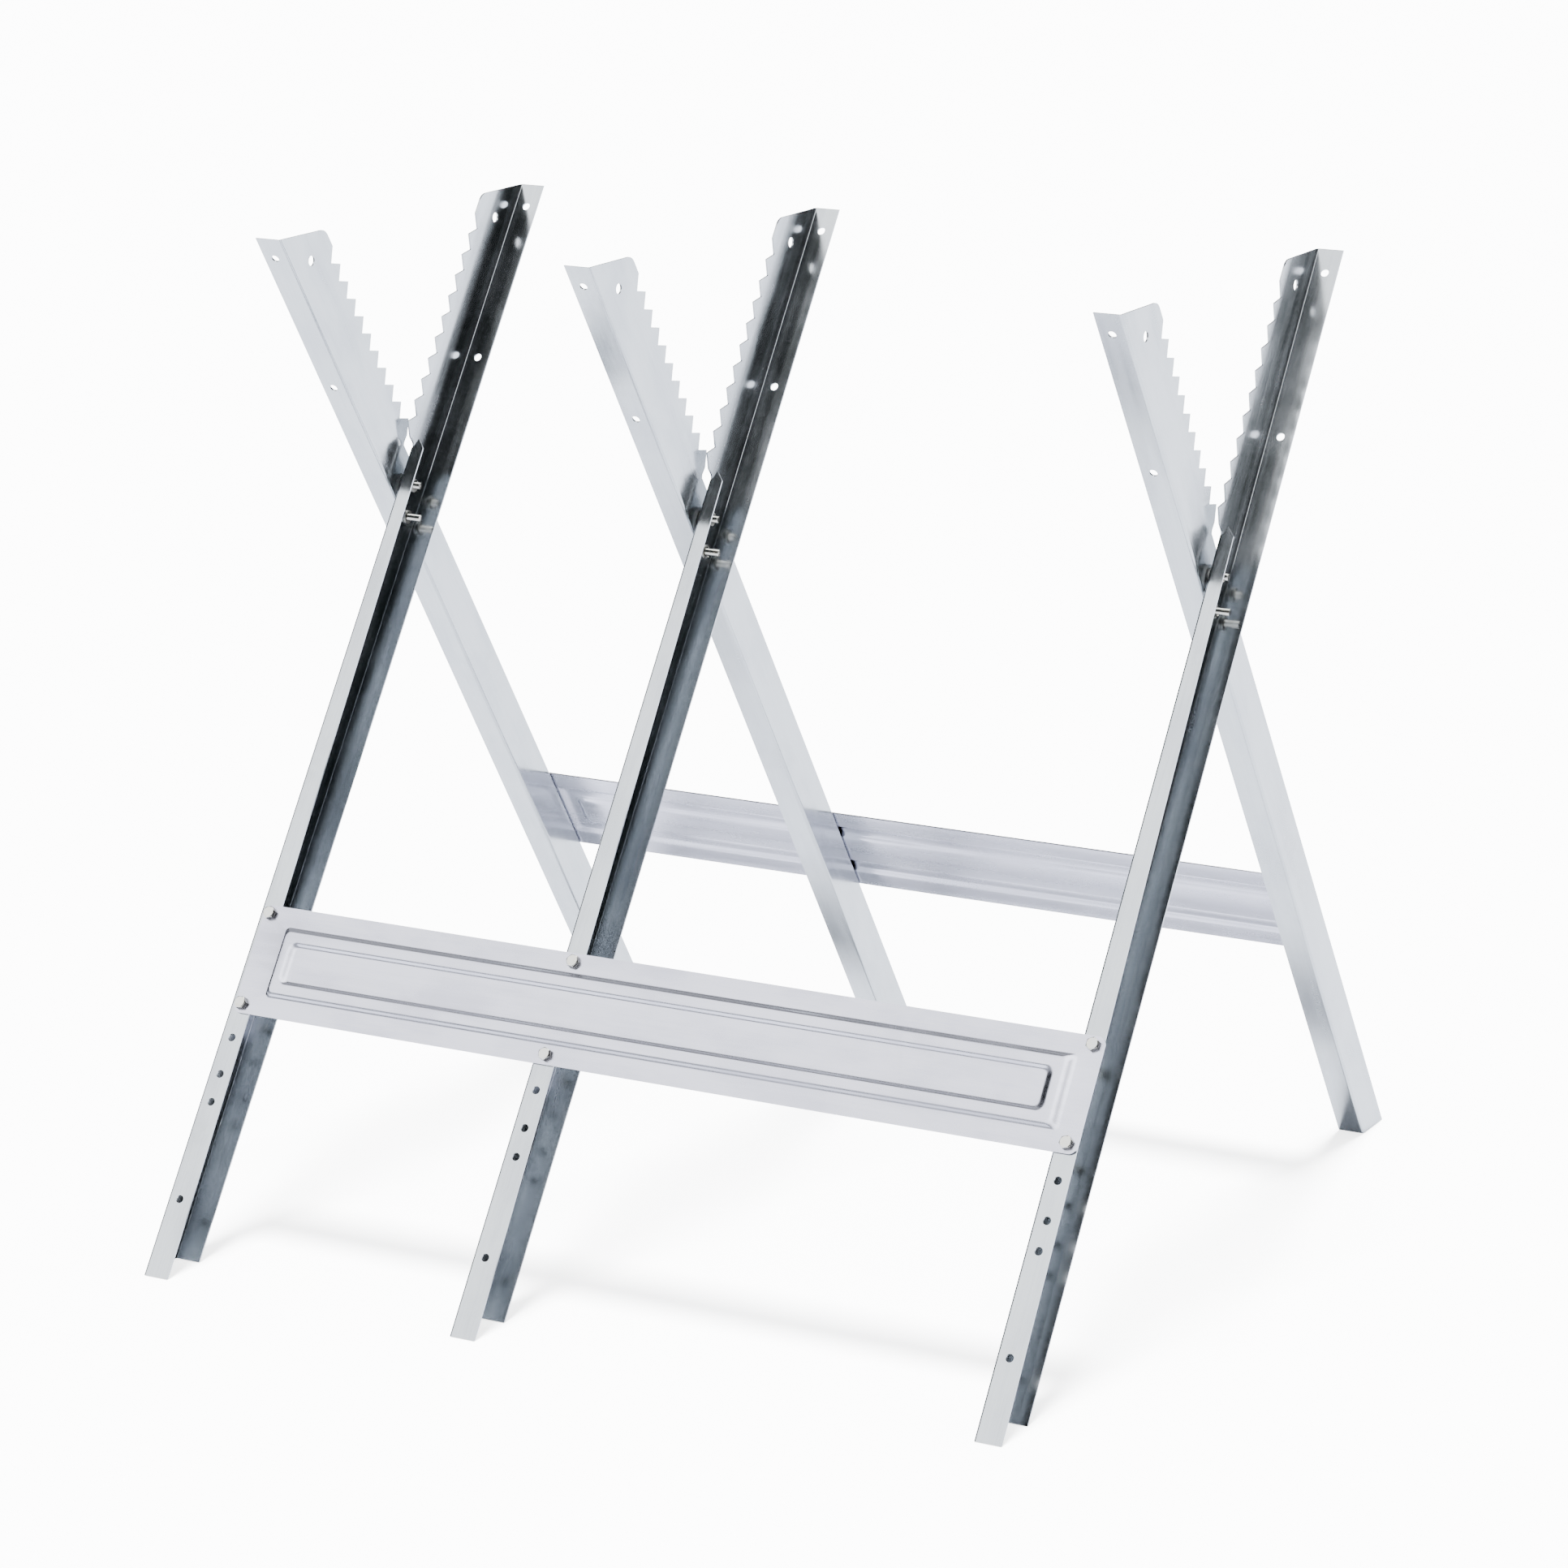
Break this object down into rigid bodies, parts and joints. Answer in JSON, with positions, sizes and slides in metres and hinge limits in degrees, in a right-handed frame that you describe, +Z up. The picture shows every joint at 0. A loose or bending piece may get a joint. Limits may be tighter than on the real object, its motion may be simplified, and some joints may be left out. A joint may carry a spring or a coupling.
{
  "type": "folding sawhorse",
  "caption": "Folding sawhorse of galvanised channel legs in toothed X-frames, tied by embossed brace panels and hinged at their crossings to fold flat.",
  "frame": {"origin": "on the floor, under the middle of the bounding box", "axes": "+Z up; X along the log, from frame to frame; -Y is the front, the side of the front feet"},
  "size_m": [0.8216, 0.8806, 0.836],
  "materials": {
    "leg_steel": "galvanised sheet, satin, faintly streaked",
    "brace_steel": "galvanised sheet, pale satin",
    "fastener_steel": "bright zinc plated"
  },
  "bodies": {
    "front_frame": {"front_brace": "brace_steel", "front_leg_left": "leg_steel", "brace_bolt_front_left_upper": "fastener_steel", "brace_nut_front_left_upper": "fastener_steel", "brace_bolt_front_left_lower": "fastener_steel", "brace_nut_front_left_lower": "fastener_steel", "front_leg_middle": "leg_steel", "brace_bolt_front_middle_upper": "fastener_steel", "brace_nut_front_middle_upper": "fastener_steel", "brace_bolt_front_middle_lower": "fastener_steel", "brace_nut_front_middle_lower": "fastener_steel", "front_leg_right": "leg_steel", "brace_bolt_front_right_upper": "fastener_steel", "brace_nut_front_right_upper": "fastener_steel", "brace_bolt_front_right_lower": "fastener_steel", "brace_nut_front_right_lower": "fastener_steel", "pivot_bolt_left": "fastener_steel", "pivot_spacer_left": "fastener_steel", "stop_plate_left": "fastener_steel", "pivot_washer_left": "fastener_steel", "pivot_nut_left": "fastener_steel", "lower_bolt_left": "fastener_steel", "lower_washer_left": "fastener_steel", "lower_nut_left": "fastener_steel", "pivot_bolt_middle": "fastener_steel", "pivot_spacer_middle": "fastener_steel", "stop_plate_middle": "fastener_steel", "pivot_washer_middle": "fastener_steel", "pivot_nut_middle": "fastener_steel", "lower_bolt_middle": "fastener_steel", "lower_washer_middle": "fastener_steel", "lower_nut_middle": "fastener_steel", "pivot_bolt_right": "fastener_steel", "pivot_spacer_right": "fastener_steel", "stop_plate_right": "fastener_steel", "pivot_washer_right": "fastener_steel", "pivot_nut_right": "fastener_steel", "lower_bolt_right": "fastener_steel", "lower_washer_right": "fastener_steel", "lower_nut_right": "fastener_steel"},
    "rear_frame": {"rear_brace": "brace_steel", "rear_leg_left": "leg_steel", "brace_bolt_rear_left_upper": "fastener_steel", "brace_nut_rear_left_upper": "fastener_steel", "brace_bolt_rear_left_lower": "fastener_steel", "brace_nut_rear_left_lower": "fastener_steel", "rear_leg_middle": "leg_steel", "brace_bolt_rear_middle_upper": "fastener_steel", "brace_nut_rear_middle_upper": "fastener_steel", "brace_bolt_rear_middle_lower": "fastener_steel", "brace_nut_rear_middle_lower": "fastener_steel", "rear_leg_right": "leg_steel", "brace_bolt_rear_right_upper": "fastener_steel", "brace_nut_rear_right_upper": "fastener_steel", "brace_bolt_rear_right_lower": "fastener_steel", "brace_nut_rear_right_lower": "fastener_steel"}
  },
  "joints": [
    {"name": "pivot_hinge", "type": "hinge", "parent": "front_frame", "child": "rear_frame", "pos_m": [0, 0, 0.594], "axis": [-1, 0, 0], "range_deg": [0, 69]}
  ]
}
